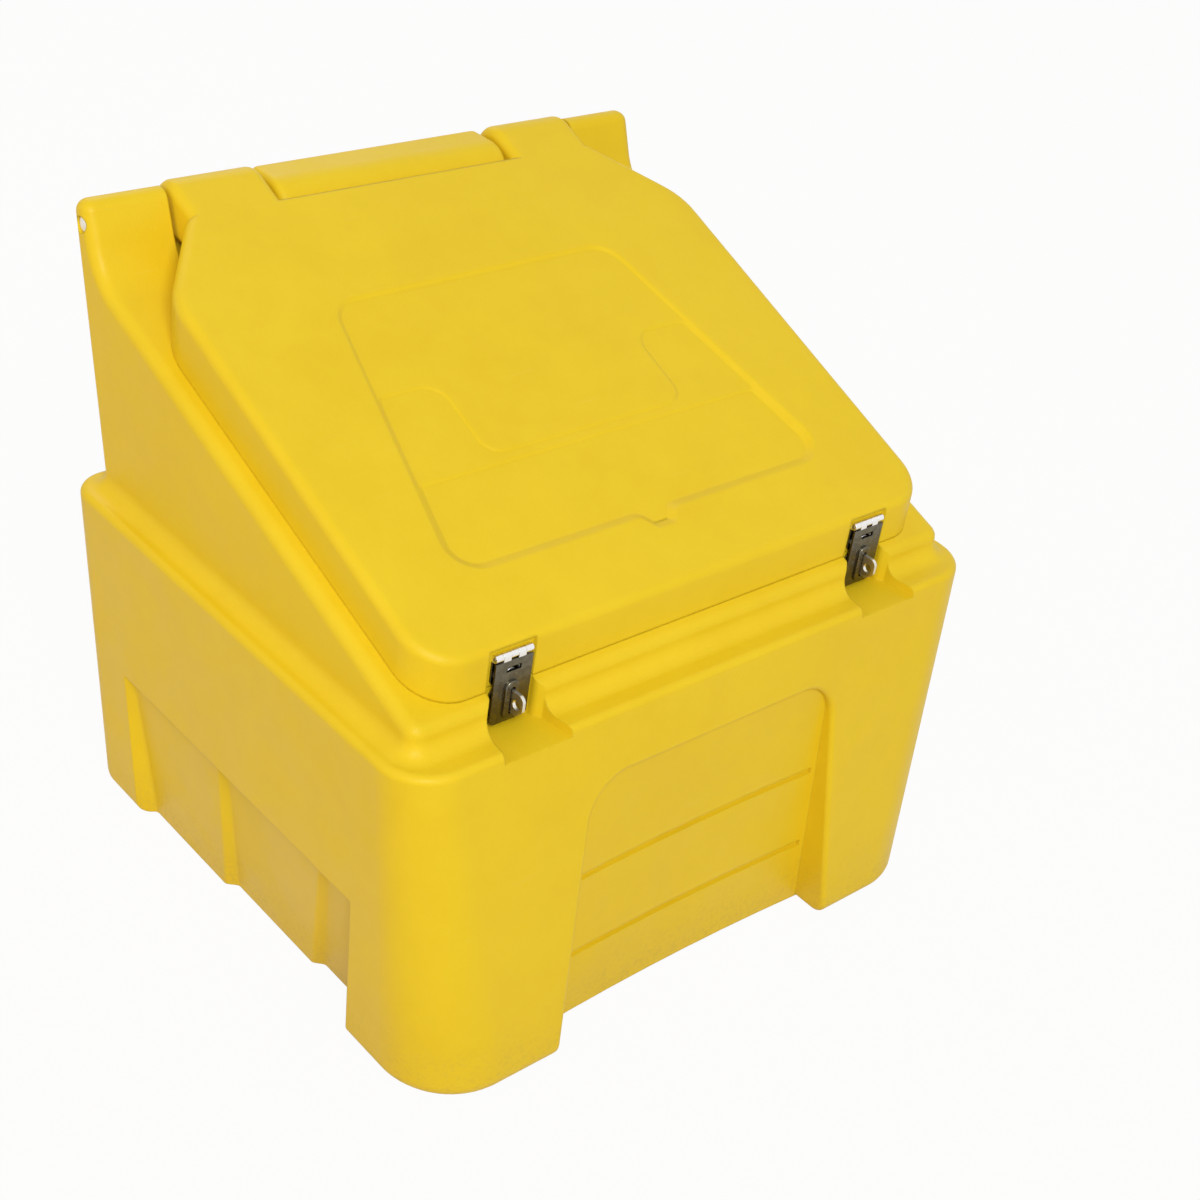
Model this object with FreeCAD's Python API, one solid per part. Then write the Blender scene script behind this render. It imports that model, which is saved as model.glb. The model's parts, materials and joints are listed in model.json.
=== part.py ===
import FreeCAD, Part

import math
import os

os.makedirs("parts", exist_ok=True)

Vec = FreeCAD.Vector

# Driving sizes in millimetres and degrees.
# While it is drawn, Y = 0 is the front edge of the lid and Z = 0 is the ground.

# Tub
tub_width = 704.0
tub_front_y = -46.0
tub_rear_y = 513.0
shoulder_z = 358.0
side_draft = 4.0
rear_draft = 1.5
foot_reach = 45.0
foot_corner_growth = 29.0
shoulder_round = 7.0
foot_round = 15.0
wall = 6.0
base_recess = 6.0
base_rim_width = 50.0

# Front recess between the two front columns, with its two moulded grooves
recess_foot_half = 178.0
recess_top_half = 152.0
recess_top_z = 290.0
recess_y = -50.0
recess_bow = 5.0
recess_corner = 45.0
recess_edge_round = 5.0
groove_heights = (175.0, 78.0)
groove_height = 7.0
groove_depth = 4.0
groove_end_gap = 6.0

# Side recesses: three strips between the side columns, each further in than the one behind it
side_recess_top_z = 175.0
strip_top_edges_y = (425.0, 262.0, 100.0, 36.0)
strip_foot_edges_y = (418.0, 277.0, 138.0, 42.0)
strip_top_depths = (6.0, 11.0, 16.0)
strip_foot_depths = (18.0, 28.0, 37.0)
step_slant = 9.0
step_round = 6.0

# Neck, rim and ears
ledge = 24.0
front_ledge = 34.0
shoulder_flat = 1.0
neck_corner = 14.0
neck_root = 20.0
rim_rise = 30.0
rim_slope = 19.8
rim_round = 11.5
rear_lean = 12.2
ear_width = 84.0
ear_top_rise = 22.0
ear_top_flat = 2.0
ear_round_margin = 0.5
ear_face_angle = 69.0
ear_curve = 60.0

# Mouth of the bin and the low lip round its front and sides
mouth_inset = 16.0
mouth_front_y = 36.0
mouth_to_lid_rear = 26.0
lip_thickness = 5.0
lip_height = 16.0
lip_end_margin = 17.0

# Lid
rim_margin = 19.0
lid_depth = 43.0
lid_slope = 21.5
lid_corner = 44.0
lid_bend = 65.0
lid_round = 10.0
lid_wall = 6.0
slant_start = 123.0
slant_end = 35.0
lid_rear_margin = 44.0
lid_seat_gap = 0.3
lid_side_gap = 4.0

# Raised panel on the lid, measured along the slope from the front edge
panel_front = 74.0
panel_rear = 387.0
panel_front_margin = 78.0
panel_rear_margin = 142.0
panel_height = 4.0
panel_bevel = 8.0
panel_corner = 32.0
bevel_sink = 0.5
tab_reach = 16.0
tab_root_half = 22.0
tab_tip_half = 12.0
tab_round = 9.6
ridge_at = 175.0
ridge_width = 10.0
ridge_height = 2.0
ridge_bevel = 4.0
pad_rear = 274.0
pad_inner_margin = 191.0
pad_height = 2.5
pad_bevel = 6.0
pad_corner = 28.0

# Hinge
axis_behind_neck = 40.0
knuckle_radius = 27.0
roll_top = 20.0
roll_half = 137.0
roll_front_round = 30.0
roll_rear_round = 12.0
roll_end_round = 8.0
roll_gap = 3.0
lobe_gap = 4.0
lobe_end_round = 10.0
rod_diameter = 10.0
running_clearance = 0.05
cap_diameter = 15.0
cap_thickness = 5.0
cap_round = 1.0
cap_clearance = 0.5
cap_sink = 3.0
rod_in_cap = 3.0

# Hasps, one near each front corner
hasp_inset = 90.0
hasp_width = 40.0
sheet = 2.0
seat_y = 4.0
pin_diameter = 3.5
pin_drop = 11.0
knuckle_outer_radius = 3.6
knuckle_count = 5
knuckle_gap = 0.2
notch_gap = 0.4
leaf_length = 67.0
leaf_corner = 5.0
fixed_leaf_length = 28.0
window_width = 16.0
window_height = 5.0
window_drop = 13.0
slot_width = 5.0
slot_height = 28.0
collar_width = 16.0
collar_height = 40.0
collar_rise = 2.5
collar_round = 1.5
skirt_recess_half = 25.0
skirt_recess_rise = 8.0
pocket_half = 25.0
pocket_flare = 9.0
pocket_depth = 9.0
pocket_round_share = 0.25
pocket_lip_share = 0.4
pocket_lip_round_share = 0.5

# Staples
staple_plate_width = 38.0
staple_plate_height = 36.0
eye_drop = 13.0
eye_height = 23.0
eye_thickness = 3.0
eye_reach = 23.5
eye_round = 6.0
eye_chamfer = 8.0
eye_hole = 9.0
eye_hole_reach = 15.0

# Bolts through the plastic walls
bolt_diameter = 5.0
bolt_clearance = 0.2
head_diameter = 9.0
head_height = 2.0
washer_diameter = 14.0
washer_thickness = 1.2
nut_flats = 8.0
nut_height = 4.0
bolt_tail = 2.0
leaf_bolt_offsets = (-13.0, 0.0, 13.0)
leaf_bolt_drop = 19.0
staple_bolt_offsets = (-13.0, 13.0)
staple_bolt_drop = 8.0


def tan(degrees):
    return math.tan(math.radians(degrees))


# Worked out from the sizes above
tub_half = tub_width / 2
neck_half = tub_half - ledge
neck_front_y = tub_front_y + front_ledge
neck_cove = ledge - shoulder_round - shoulder_flat
rear_ledge = shoulder_round + shoulder_flat + neck_cove * tan((90 + rear_lean) / 2)
neck_rear_y = tub_rear_y - rear_ledge
front_corner = neck_corner + front_ledge
rear_corner = rim_round + ledge
rim_front_z = shoulder_z + rim_rise
axis_y = neck_rear_y + axis_behind_neck
lid_half = neck_half - rim_margin
pad_inner_x = lid_half - pad_inner_margin
lid_front_z = rim_front_z + lid_depth
lid_straight_y = axis_y - slant_start
slant_end_y = axis_y - slant_end
lid_rear_y = axis_y - lid_rear_margin
axis_z = lid_front_z + axis_y * tan(lid_slope) - knuckle_radius / math.cos(math.radians(lid_slope))
ear_inner_x = neck_half - ear_width
ear_top_z = axis_z + ear_top_rise
ear_top_round = rim_round + ear_round_margin
ear_top_depth = ear_top_flat + ear_top_round * (tan(ear_face_angle / 2) + tan((90 + rear_lean) / 2))
lobe_outer_x = ear_inner_x - lobe_gap
lobe_inner_x = roll_half + lobe_gap
mouth_rear_y = lid_rear_y - mouth_to_lid_rear
lip_rear_y = lid_straight_y - lip_end_margin
hasp_x = lid_half - hasp_inset
pin_y = seat_y - knuckle_outer_radius
pin_z = lid_front_z - pin_drop
window_z = pin_z - window_drop
leaf_bolt_z = pin_z - leaf_bolt_drop
eye_z = rim_front_z - eye_drop
staple_bolt_z = eye_z - staple_bolt_drop
pocket_floor_z = shoulder_z - pocket_depth
cap_face_x = neck_half - cap_sink
cap_seat_x = cap_face_x - cap_thickness
rod_bore = rod_diameter + 2 * running_clearance
pin_bore = pin_diameter + 2 * running_clearance
bolt_hole = bolt_diameter + 2 * bolt_clearance
far = 1000.0
tiny = 0.01
wedge_overrun = 1.5
cone_overrun = 2.0


def rim_z(y):
    return rim_front_z + y * tan(rim_slope)


def lid_z(y):
    return lid_front_z + y * tan(lid_slope)


def rear_wall_y(z):
    return neck_rear_y + (z - shoulder_z) * tan(rear_lean)


def tub_side_x(z):
    return tub_half - (shoulder_z - z) * tan(side_draft)


def tub_front_wall_y(z):
    return tub_front_y - foot_reach * (shoulder_z - z) / shoulder_z


def tub_rear_wall_y(z):
    return tub_rear_y - (shoulder_z - z) * tan(rear_draft)


back_y = axis_y + knuckle_radius
centre_y = (tub_front_wall_y(foot_round) + back_y) / 2


def save(name, solids):
    """Put the origin under the middle of the part and write its solids."""
    placed = []
    for solid in solids:
        clean = solid.removeSplitter()
        clean.translate(Vec(0, -centre_y, 0))
        placed.append(clean)
    shape = placed[0] if len(placed) == 1 else Part.makeCompound(placed)
    shape.exportStep(f"parts/{name}.step")


def rounded_outline(corners, radii):
    """Closed wire through the corner points, each corner rounded with its own radius."""
    starts = []
    middles = []
    ends = []
    for i, corner in enumerate(corners):
        to_last = (corners[i - 1] - corner).normalize()
        to_next = (corners[(i + 1) % len(corners)] - corner).normalize()
        half_angle = to_last.getAngle(to_next) / 2
        run = radii[i] / math.tan(half_angle)
        inwards = (to_last + to_next).normalize()
        starts.append(corner + to_last * run)
        middles.append(corner + inwards * (radii[i] / math.sin(half_angle) - radii[i]))
        ends.append(corner + to_next * run)
    edges = []
    for i, radius in enumerate(radii):
        next_start = starts[(i + 1) % len(corners)]
        if radius > 0:
            edges.append(Part.Arc(starts[i], middles[i], ends[i]).toShape())
        if ends[i].distanceToPoint(next_start) > tiny:
            edges.append(Part.makeLine(ends[i], next_start))
    return Part.Wire(edges)


def plan_outline(points, radii, z=0.0):
    return rounded_outline([Vec(x, y, z) for x, y in points], radii)


def rectangle(half, front, rear, front_radius, rear_radius, z=0.0):
    points = [(-half, front), (half, front), (half, rear), (-half, rear)]
    return plan_outline(points, [front_radius, front_radius, rear_radius, rear_radius], z)


def prism(wire, direction):
    return Part.Face(wire).extrude(direction)


def side_prism(points, radii, x0, x1):
    """Solid with an outline given in Y and Z, running from x0 to x1."""
    return prism(rounded_outline([Vec(x0, y, z) for y, z in points], radii), Vec(x1 - x0, 0, 0))


def box(x0, x1, y0, y1, z0, z1):
    return Part.makeBox(x1 - x0, y1 - y0, z1 - z0, Vec(x0, y0, z0))


def rod_along_x(x0, x1, y, z, radius):
    return Part.makeCylinder(radius, x1 - x0, Vec(x0, y, z), Vec(1, 0, 0))


def rod_along_y(x, z, y0, y1, radius):
    return Part.makeCylinder(radius, y1 - y0, Vec(x, y0, z), Vec(0, 1, 0))


def mirrored(shape):
    return shape.mirror(Vec(0, 0, 0), Vec(1, 0, 0))


def with_mirror(shapes):
    return shapes + [mirrored(shape) for shape in shapes]


def edges_where(shape, test):
    return [edge for edge in shape.Edges if test(edge.BoundBox)]


def at_height(z):
    return lambda bounds: abs(bounds.ZMin - z) < tiny and abs(bounds.ZMax - z) < tiny


def above(wire, height, slope, lift=0.0):
    """Column over a plan outline, standing on a plane that rises towards the rear."""
    column = prism(wire, Vec(0, 0, far))
    low = [(y, height + lift + y * tan(slope)) for y in (-far, far)]
    return column.cut(side_prism(low + [(far, -far), (-far, -far)], [0.0] * 4, -far, far))


# Body

def tub_block(inset, floor_z, top_z):
    """The tapered tub with rounded corners, or the space inside it when inset is the wall."""
    low_half = tub_side_x(floor_z) - inset
    high_half = tub_side_x(top_z) - inset
    outline = [
        (tub_front_wall_y(floor_z) + inset, floor_z),
        (tub_rear_wall_y(floor_z) - inset, floor_z),
        (tub_rear_wall_y(top_z) - inset, top_z),
        (tub_front_wall_y(top_z) + inset, top_z),
    ]
    from_side = side_prism(outline, [0.0] * 4, -tub_half, tub_half)
    corners = [(-low_half, floor_z), (low_half, floor_z), (high_half, top_z), (-high_half, top_z)]
    seen_from_front = rounded_outline([Vec(x, -far, z) for x, z in corners], [0.0] * 4)
    block = from_side.common(prism(seen_from_front, Vec(0, 2 * far, 0)))
    block = block.cut(with_mirror([front_corner_waste(inset)]))
    height = top_z - floor_z
    rear_edges = edges_where(block, lambda b: b.ZLength > height / 2 and b.YMin > lid_rear_y)
    return block.makeFillet(rear_corner - inset, rear_edges)


def front_corner_waste(inset):
    """What is cut from the sharp right front corner to leave a cone that grows rounder downwards."""
    side_normal = Vec(1, 0, -tan(side_draft)).normalize()
    front_normal = Vec(0, -1, foot_reach / shoulder_z).normalize()
    inwards = (side_normal + front_normal) * (-1 / (1 + side_normal.dot(front_normal)))
    top = Vec(tub_side_x(shoulder_z) - inset, tub_front_wall_y(shoulder_z) + inset, shoulder_z)
    foot = Vec(tub_side_x(0) - inset, tub_front_wall_y(0) + inset, 0)
    radius = front_corner + foot_corner_growth - inset
    apex = top + (top - foot) * ((front_corner - inset) / foot_corner_growth)
    middle = foot + inwards * radius
    axis = middle - apex
    length = cone_overrun * axis.Length
    cone = Part.makeCone(0, length * math.tan(math.asin(radius / axis.Length)), length, apex, axis)
    base = [foot - inwards * radius, middle + side_normal * radius, middle + front_normal * radius]
    outer, on_side, on_front = [apex + (point - apex) * wedge_overrun for point in base]
    triangles = [(apex, outer, on_side), (apex, on_side, on_front), (apex, on_front, outer), (outer, on_side, on_front)]
    faces = [Part.Face(Part.makePolygon([*corners, corners[0]])) for corners in triangles]
    return Part.makeSolid(Part.makeShell(faces)).cut(cone)


def tub_solid():
    tub = tub_block(0.0, 0.0, shoulder_z)
    tub = tub.makeFillet(shoulder_round, edges_where(tub, at_height(shoulder_z)))
    tub = tub.makeFillet(foot_round, edges_where(tub, at_height(0.0))).cut(front_recess(0.0))

    def on_recess_edge(b):
        return b.ZMax < recess_top_z + tiny and b.ZMax > foot_round + tiny and b.YMax < recess_y

    return tub.makeFillet(recess_edge_round, edges_where(tub, on_recess_edge))


def neck_outline(inset, drop, foot_z):
    """Neck and ears seen from the side, from the front foot round to the rear foot."""
    steep = tan(ear_face_angle)
    ear_front_top_y = rear_wall_y(ear_top_z) - ear_top_depth
    meet_y = (steep * ear_front_top_y + rim_front_z - ear_top_z) / (steep - tan(rim_slope))
    front = neck_front_y + inset
    return [
        (front, foot_z),
        (front, rim_z(front) - drop),
        (meet_y, rim_z(meet_y) - drop),
        (ear_front_top_y, ear_top_z - drop),
        (rear_wall_y(ear_top_z) - inset, ear_top_z - drop),
        (rear_wall_y(foot_z) - inset, foot_z),
    ]


def neck_solid():
    foot_z = shoulder_z - neck_root
    radii = [0.0, 0.0, ear_curve, ear_top_round, ear_top_round, 0.0]
    neck = side_prism(neck_outline(0.0, 0.0, foot_z), radii, -neck_half, neck_half)
    front_corners = edges_where(neck, lambda b: b.YMax < neck_front_y + tiny and b.XLength < tiny)
    neck = neck.makeFillet(neck_corner, front_corners)
    corner_y = neck_front_y + neck_corner

    def on_side(b):
        return b.XLength < tiny and abs(b.XMin) > neck_half - tiny and b.YMax > corner_y + tiny

    def on_front_rim(b):
        return b.YMax < corner_y + tiny and b.ZMin > shoulder_z

    top_edges = edges_where(neck, lambda b: b.ZMax > shoulder_z and (on_side(b) or on_front_rim(b)))
    return neck.makeFillet(rim_round, top_edges)


def lid_outline(grow, rear_y):
    """Plan of the lid with its slanted rear corners, grown by a margin, as far back as rear_y."""
    slant = Vec(lobe_outer_x - lid_half, slant_end_y - lid_straight_y, 0)
    extra = grow * math.tan(math.atan2(-slant.x, slant.y) / 2)
    half = lid_half + grow
    bend_y = lid_straight_y + extra
    rear_half = half + slant.x / slant.y * (rear_y - bend_y)
    points = [(-half, -grow), (half, -grow), (half, bend_y), (rear_half, rear_y)]
    points += [(-rear_half, rear_y), (-half, bend_y)]
    corner = lid_corner + grow
    bend = lid_bend + grow
    return plan_outline(points, [corner, corner, bend, 0.0, 0.0, bend])


def lid_space():
    """Everything above the rim that the lid needs, between and in front of the ears."""
    over_lid = above(lid_outline(lid_side_gap, slant_end_y), rim_front_z, rim_slope)
    between_ears = above(rectangle(ear_inner_x, 0.0, far, 0.0, 0.0), rim_front_z, rim_slope)
    return over_lid.fuse(between_ears)


def ends_rounded(block, half_length, radius, test):
    """Round the outline edges at both ends of a block that lies along X."""
    middle = block.BoundBox.Center.x
    return block.makeFillet(radius, edges_where(block, lambda b: at_end(b, middle, half_length) and test(b)))


def at_end(bounds, middle, half_length):
    return bounds.XLength < tiny and abs(abs(bounds.XMin - middle) - half_length) < tiny


def middle_roll():
    """Fixed roll in the middle of the hinge, on a web that joins it to the rear wall."""
    front_y = lid_rear_y + roll_gap
    top_z = axis_z + roll_top
    low_z = rim_z(front_y) - wall
    points = [(front_y, low_z), (front_y, top_z), (back_y, top_z), (back_y, axis_z), (rear_wall_y(low_z), low_z)]
    radii = [0.0, roll_front_round, roll_rear_round, roll_rear_round, 0.0]
    roll = side_prism(points, radii, -roll_half, roll_half)
    return ends_rounded(roll, roll_half, roll_end_round, lambda b: b.ZMax > low_z + tiny)


def bowed_slab(depth, low_z, high_z):
    """Everything in front of the bowed recess wall, cut deeper by depth, between two heights."""
    radius = (recess_foot_half ** 2 + recess_bow ** 2) / (2 * recess_bow)
    middle_y = recess_y + recess_bow - radius
    return Part.makeCylinder(radius + depth, high_z - low_z, Vec(0, middle_y, low_z))


def recess_arch(grow):
    """The outline of the front recess as seen from the front, running through the whole tub."""
    top = recess_top_z + grow
    spread = (recess_foot_half - recess_top_half) / recess_top_z
    low_half = recess_foot_half + wall * spread + grow
    high_half = recess_top_half - grow * spread + grow
    points = [Vec(-low_half, -far, -wall), Vec(low_half, -far, -wall)]
    points += [Vec(high_half, -far, top), Vec(-high_half, -far, top)]
    corner = recess_corner + grow
    return prism(rounded_outline(points, [0.0, 0.0, corner, corner]), Vec(0, 2 * far, 0))


def front_recess(grow):
    """Space between the front columns, or the same space grown by the wall."""
    return recess_arch(grow).common(bowed_slab(grow, -wall, recess_top_z + grow))


def front_groove(z, grow):
    """Level groove in the recess wall that stops short of the recess's sides."""
    reach = groove_height / 2 + grow
    slab = bowed_slab(groove_depth + grow, z - reach, z + reach)
    return slab.common(recess_arch(grow - groove_end_gap))


def strip_profile(z, edges_y, depths, grow):
    """Stepped outline of the right side recess in plan, for one height."""
    side_x = tub_side_x(z) - grow
    outer_x = tub_half + depths[0] + wall
    rear_y = edges_y[0] + grow
    front_y = edges_y[3] - grow
    points = [(outer_x, rear_y + step_slant), (side_x + depths[0], rear_y + step_slant)]
    for i, depth in enumerate(depths):
        start_y = edges_y[i] - step_slant if i > 0 else rear_y - step_slant
        end_y = edges_y[i + 1] if i < 2 else front_y
        points += [(side_x - depth, start_y), (side_x - depth, end_y)]
    points.append((outer_x, front_y))
    radii = [0.0, 0.0] + [step_round] * 5 + [0.0, 0.0]
    return plan_outline(points, radii, z)


def side_recess(grow):
    """Three strips cut from the right side, each leaning in towards the foot."""
    top = strip_profile(side_recess_top_z + grow, strip_top_edges_y, strip_top_depths, grow)
    foot = strip_profile(0.0, strip_foot_edges_y, strip_foot_depths, grow)
    return Part.makeLoft([foot, top], True, True)


def hasp_pocket(grow):
    """Pocket in the neck and shoulder behind the right hasp, with walls that open out at the front."""
    into_neck = seat_y - neck_front_y
    lip = pocket_lip_share * into_neck
    half = pocket_half + grow
    front_half = half + lip + (neck_front_y - tub_front_y) * tan(pocket_flare)
    side = [(half, seat_y + grow), (half, neck_front_y + lip), (half + lip, neck_front_y)]
    side += [(front_half, tub_front_y), (front_half, -far)]
    side_radii = [pocket_round_share * into_neck, pocket_lip_round_share * into_neck, 0.0, 0.0, 0.0]
    points = [(hasp_x - x, y) for x, y in side] + [(hasp_x + x, y) for x, y in reversed(side)]
    radii = side_radii + side_radii[::-1]
    return prism(plan_outline(points, radii, pocket_floor_z - grow), Vec(0, 0, far))


def cavity():
    """Space inside the tub and the neck, leaving one wall thickness everywhere."""
    tub = tub_block(wall, base_recess + wall, shoulder_z - wall)
    low_z = shoulder_z - neck_root
    outline = neck_outline(wall, 0.0, low_z)
    front, front_top = outline[0], outline[1]
    rear_top_y = (rear_wall_y(rim_front_z) - wall) / (1 - tan(rear_lean) * tan(rim_slope))
    under_rim = [
        front,
        (front_top[0], front_top[1] - wall),
        (rear_top_y, rim_z(rear_top_y) - wall),
        outline[5],
    ]
    inner_half = neck_half - wall
    neck = side_prism(under_rim, [0.0] * 4, -inner_half, inner_half)
    inner_corner = neck_corner - wall
    shaft = prism(rectangle(inner_half, front[0], far, inner_corner, 0.0), Vec(0, 0, far))
    space = tub.fuse(neck.common(shaft))
    kept = [front_recess(wall)] + [front_groove(z, wall) for z in groove_heights]
    kept += with_mirror([side_recess(wall), hasp_pocket(wall)])
    return space.cut(kept)


def mouth(grow):
    """Column through the rim inside the lip, with slanted rear corners like those of the lid."""
    column = prism(lid_outline(grow - mouth_inset, mouth_rear_y + grow), Vec(0, 0, far))
    column.translate(Vec(0, 0, shoulder_z))
    return column.cut(box(-far, far, -far, mouth_front_y - grow, -far, 2 * far))


def lip():
    """Low wall round the front and sides of the mouth that keeps rain out."""
    ring = mouth(lip_thickness).cut(mouth(0.0))
    rise = above(rectangle(neck_half, neck_front_y, lip_rear_y, 0.0, 0.0), rim_front_z, rim_slope, -wall)
    above_lip = above(rectangle(far, -far, far, 0.0, 0.0), rim_front_z, rim_slope, lip_height)
    return ring.common(rise).cut(above_lip)


def base_hollow():
    """Shallow hollow under the floor, so that the bin rests on a rim."""
    rear_y = tub_rear_wall_y(0.0) - base_rim_width
    front_y = recess_y + recess_bow + base_rim_width
    half = tub_side_x(0.0) - max(strip_foot_depths) - base_rim_width
    return prism(rectangle(half, front_y, rear_y, base_rim_width, base_rim_width), Vec(0, 0, base_recess))


def neck_root_edges(body):
    """Edges where the neck stands on the shoulder."""
    def inside_neck(b):
        across = b.XMin > -neck_half - tiny and b.XMax < neck_half + tiny
        return across and b.YMin > neck_front_y - tiny and b.YMax < neck_rear_y + tiny

    on_shoulder = at_height(shoulder_z)
    return edges_where(body, lambda b: on_shoulder(b) and inside_neck(b))


def body_shell():
    body = tub_solid().fuse(neck_solid()).removeSplitter()
    body = body.makeFillet(neck_cove, neck_root_edges(body))
    body = body.cut(lid_space()).fuse(middle_roll())
    body = body.cut([cavity(), mouth(0.0), base_hollow()]).fuse(lip())
    cuts = [front_groove(z, 0.0) for z in groove_heights]
    cuts += with_mirror([side_recess(0.0), hasp_pocket(0.0)])
    cuts += with_mirror(bolt_holes(staple_bolt_offsets, staple_bolt_z))
    cuts.append(rod_along_x(-far, far, axis_y, axis_z, rod_bore / 2))
    cuts += with_mirror([rod_along_x(cap_seat_x, far, axis_y, axis_z, cap_diameter / 2 + cap_clearance)])
    return body.cut(cuts)


def bolt_holes(offsets, z):
    """Clearance holes through the plastic behind the right hasp."""
    reach = seat_y + 2 * wall
    return [rod_along_y(hasp_x + offset, z, -reach, reach, bolt_hole / 2) for offset in offsets]


# Lid

def lid_block():
    """Solid block of the lid before it is hollowed, rounded along its front and sides."""
    block = above(lid_outline(0.0, lid_rear_y), rim_front_z, rim_slope, lid_seat_gap)
    over_lid = above(rectangle(far, -far, far, 0.0, 0.0), lid_front_z, lid_slope)
    block = block.cut(over_lid)

    def on_top(edge):
        mid = edge.valueAt((edge.FirstParameter + edge.LastParameter) / 2)
        on_plane = abs(mid.z - lid_z(mid.y)) < tiny
        return on_plane and mid.y < lid_rear_y - tiny

    return block.makeFillet(lid_round, [edge for edge in block.Edges if on_top(edge)])


def on_lid(shape):
    """Move a shape drawn flat at the origin onto the sloping top of the lid."""
    shape.rotate(Vec(0, 0, 0), Vec(1, 0, 0), lid_slope)
    shape.translate(Vec(0, 0, lid_front_z))
    return shape


def raised(points, radii, base, height, bevel):
    """Low platform on the lid with a slanted edge all round, standing on a level given by base."""
    low = base - wall / 2
    platform = prism(plan_outline(points, radii, low), Vec(0, 0, base + height - low))
    rim = edges_where(platform, at_height(base + height))
    return on_lid(platform.makeChamfer(height + bevel_sink, bevel, rim))


def panel_half(s):
    """Half the width of the raised panel at a distance s up the lid."""
    share = (s - panel_front) / (panel_rear - panel_front)
    margin = panel_front_margin + (panel_rear_margin - panel_front_margin) * share
    return lid_half - margin


def raised_panel():
    tip = panel_front - tab_reach
    front_half = panel_half(panel_front)
    rear_half = panel_half(panel_rear)
    points = [
        (-tab_tip_half, tip),
        (tab_tip_half, tip),
        (tab_root_half, panel_front),
        (front_half, panel_front),
        (rear_half, panel_rear),
        (-rear_half, panel_rear),
        (-front_half, panel_front),
        (-tab_root_half, panel_front),
    ]
    root_round = tab_root_half - tab_tip_half
    radii = [tab_round, tab_round, root_round, panel_corner, panel_corner, panel_corner, panel_corner, root_round]
    return raised(points, radii, 0.0, panel_height, panel_bevel)


def panel_ridge():
    """Thin ridge across the panel at the front of the two pads."""
    half = panel_half(ridge_at) - panel_bevel
    points = [(-half, ridge_at), (half, ridge_at), (half, ridge_at + ridge_width), (-half, ridge_at + ridge_width)]
    return raised(points, [0.0] * 4, panel_height, ridge_height, ridge_bevel)


def panel_pad():
    """Raised pad on the right half of the panel."""
    margin = panel_bevel
    points = [
        (pad_inner_x, ridge_at),
        (panel_half(ridge_at) - margin, ridge_at),
        (panel_half(pad_rear) - margin, pad_rear),
        (pad_inner_x, pad_rear),
    ]
    radii = [pad_corner / 2, pad_corner / 2, pad_corner / 2, pad_corner]
    return raised(points, radii, panel_height, pad_height, pad_bevel)


def lid_hollow():
    """Space under the lid, leaving its wall and the thicker places behind the hasps."""
    space = above(lid_outline(-lid_wall, lid_rear_y - lid_wall), rim_front_z, rim_slope, -wall)
    drop = lid_wall / math.cos(math.radians(lid_slope))
    space = space.cut(above(rectangle(far, -far, far, 0.0, 0.0), lid_front_z, lid_slope, -drop))
    return space.cut(with_mirror([skirt_recess(lid_wall)]))


def skirt_recess(grow):
    """Recess in the lid skirt where the fixed leaf of the right hasp lies."""
    half = skirt_recess_half + grow
    return box(hasp_x - half, hasp_x + half, -far, seat_y + grow, 0.0, pin_z + skirt_recess_rise + grow)


def hinge_lobe():
    """Right-hand knuckle of the lid, carried on by a web with the slope of the lid."""
    front_y = lid_rear_y - lid_wall
    low_z = axis_z - knuckle_radius
    points = [(front_y, low_z), (back_y, low_z), (back_y, lid_z(back_y)), (front_y, lid_z(front_y))]
    lobe = side_prism(points, [0.0, knuckle_radius, knuckle_radius, 0.0], lobe_inner_x, lobe_outer_x)
    half_length = (lobe_outer_x - lobe_inner_x) / 2
    return ends_rounded(lobe, half_length, lobe_end_round, lambda b: b.ZMax > low_z + tiny and b.YMax > front_y + tiny)


def lid_shell():
    lid = lid_block().cut(lid_hollow())
    lid = lid.multiFuse([raised_panel(), panel_ridge()] + with_mirror([panel_pad(), hinge_lobe()]))
    cuts = with_mirror([skirt_recess(0.0)] + bolt_holes(leaf_bolt_offsets, leaf_bolt_z))
    cuts.append(rod_along_x(-far, far, axis_y, axis_z, rod_bore / 2))
    return lid.cut(cuts)


# Hinge rod

def hinge_rod():
    half = cap_seat_x + rod_in_cap
    return rod_along_x(-half, half, axis_y, axis_z, rod_diameter / 2)


def rod_end_cap():
    """Push-on cap at the right end of the rod, let into the outer face of the ear."""
    cap = rod_along_x(cap_seat_x, cap_face_x, axis_y, axis_z, cap_diameter / 2)
    cap = cap.makeFillet(cap_round, edges_where(cap, lambda b: b.XMin > cap_face_x - tiny))
    return cap.cut(rod_along_x(cap_seat_x, cap_seat_x + rod_in_cap, axis_y, axis_z, rod_diameter / 2))


# Hasps: each is drawn for the right side

def knuckle_spans(first):
    """Ends in X of every second knuckle, beginning with number first."""
    length = hasp_width / knuckle_count
    left = hasp_x - hasp_width / 2
    spans = []
    for i in range(first, knuckle_count, 2):
        spans.append((left + i * length + knuckle_gap / 2, left + (i + 1) * length - knuckle_gap / 2))
    return spans


def leaf_blank(front_y, length):
    """Flat leaf hanging from the pin, with its two lower corners rounded."""
    left = hasp_x - hasp_width / 2
    right = hasp_x + hasp_width / 2
    low = pin_z - length
    corners = [Vec(left, front_y, pin_z), Vec(left, front_y, low), Vec(right, front_y, low)]
    corners.append(Vec(right, front_y, pin_z))
    return prism(rounded_outline(corners, [0.0, leaf_corner, leaf_corner, 0.0]), Vec(0, sheet, 0))


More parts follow.
